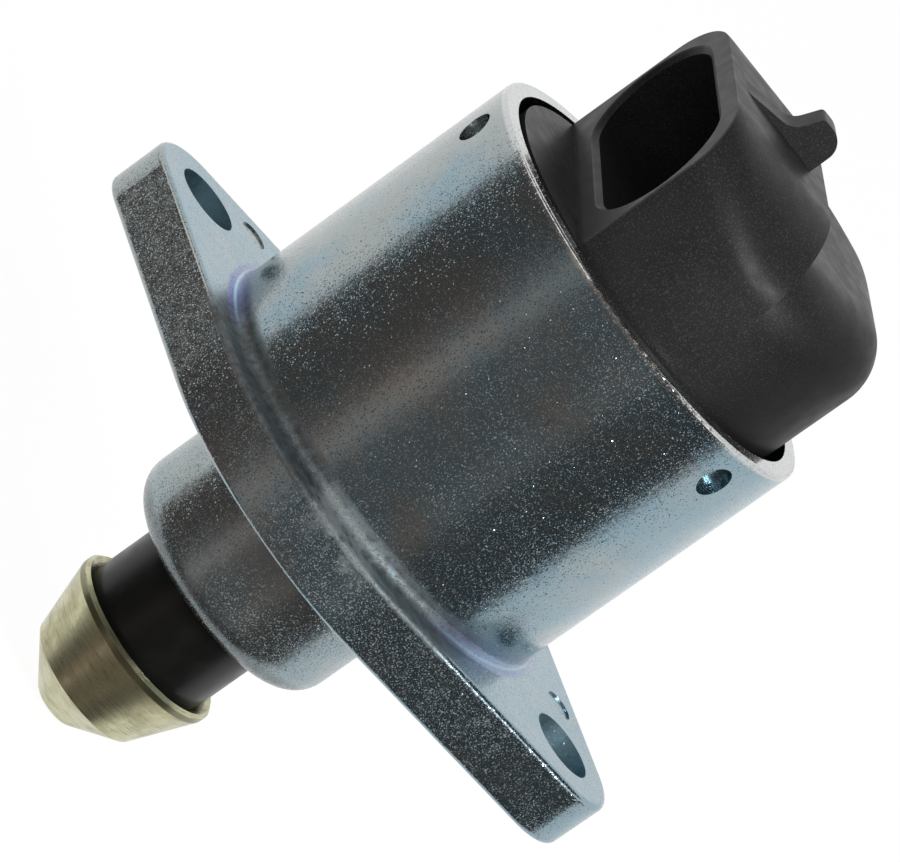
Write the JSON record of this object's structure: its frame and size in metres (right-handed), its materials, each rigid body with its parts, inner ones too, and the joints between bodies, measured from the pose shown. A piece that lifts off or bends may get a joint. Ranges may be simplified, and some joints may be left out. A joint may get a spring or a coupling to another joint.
{
  "type": "idle air control valve",
  "caption": "Idle air control valve: a round plated can on a bolt-down flange, with a hooded black plug cap behind and a sliding plunger with a conical pintle in front.",
  "frame": {"origin": "on the valve axis in the flange's mounting face, midway between the mounting holes", "axes": "+Z along the valve axis from the pintle towards the plug, +X along the line of the mounting holes"},
  "size_m": [0.0612, 0.0408, 0.0758],
  "materials": {
    "plated_steel": "bright zinc plate over turned steel, lightly scratched",
    "cap_plastic": "matte moulded, faintly speckled",
    "plunger_plastic": "glossy moulded",
    "pintle_metal": "turned, pale yellow passivated",
    "screw_steel": "turned, bare",
    "seal_rubber": "moulded, smooth",
    "guide_plastic": "moulded, natural",
    "bearing_steel": "ground and polished",
    "hub_plastic": "moulded, glass filled",
    "magnet": "sintered, ground",
    "stator_steel": "pressed, dull plate",
    "bobbin_plastic": "moulded, natural",
    "copper_wire": "enamelled, wound in layers",
    "bush_bronze": "sintered, oiled",
    "terminal_metal": "stamped, tin plated"
  },
  "bodies": {
    "housing": {"valve_body": "plated_steel", "connector_cap": "cap_plastic", "cap_seal_ring": "seal_rubber", "terminal_pin_1": "terminal_metal", "terminal_pin_2": "terminal_metal", "terminal_pin_3": "terminal_metal", "terminal_pin_4": "terminal_metal", "wiper_seal": "seal_rubber", "plunger_guide": "guide_plastic", "anti_rotation_plate": "stator_steel", "front_bearing_outer_race": "bearing_steel", "front_stator_cup": "stator_steel", "front_pole_plate": "stator_steel", "front_bobbin": "bobbin_plastic", "front_winding": "copper_wire", "rear_pole_plate": "stator_steel", "rear_stator_cup": "stator_steel", "rear_bobbin": "bobbin_plastic", "rear_winding": "copper_wire", "rear_bush": "bush_bronze", "preload_washer": "screw_steel"},
    "rotor": {"rotor_hub": "hub_plastic", "rotor_magnet": "magnet", "front_bearing_inner_race": "bearing_steel"},
    "ball_cage": {"front_bearing_balls": "bearing_steel", "front_bearing_cage": "guide_plastic"},
    "valve_plunger": {"plunger": "plunger_plastic", "pintle": "pintle_metal", "lead_screw": "screw_steel"}
  },
  "joints": [
    {"name": "rotor_spin", "type": "hinge", "parent": "housing", "child": "rotor", "pos_m": [0, 0, 0.015], "axis": [0, 0, 1], "range_deg": [-2163, 723]},
    {"name": "cage_roll", "type": "hinge", "parent": "housing", "child": "ball_cage", "pos_m": [0, 0, 0.0072], "axis": [0, 0, 1], "range_deg": [-910, 304]},
    {"name": "pintle_slide", "type": "slide", "parent": "housing", "child": "valve_plunger", "axis": [0, 0, -1], "range_m": [-0.006, 0.002]}
  ],
  "couplings": [
    {"joint": "cage_roll", "follows": "pintle_slide", "rad_per_m": 2642.9},
    {"joint": "rotor_spin", "follows": "pintle_slide", "rad_per_m": 6283.2}
  ]
}
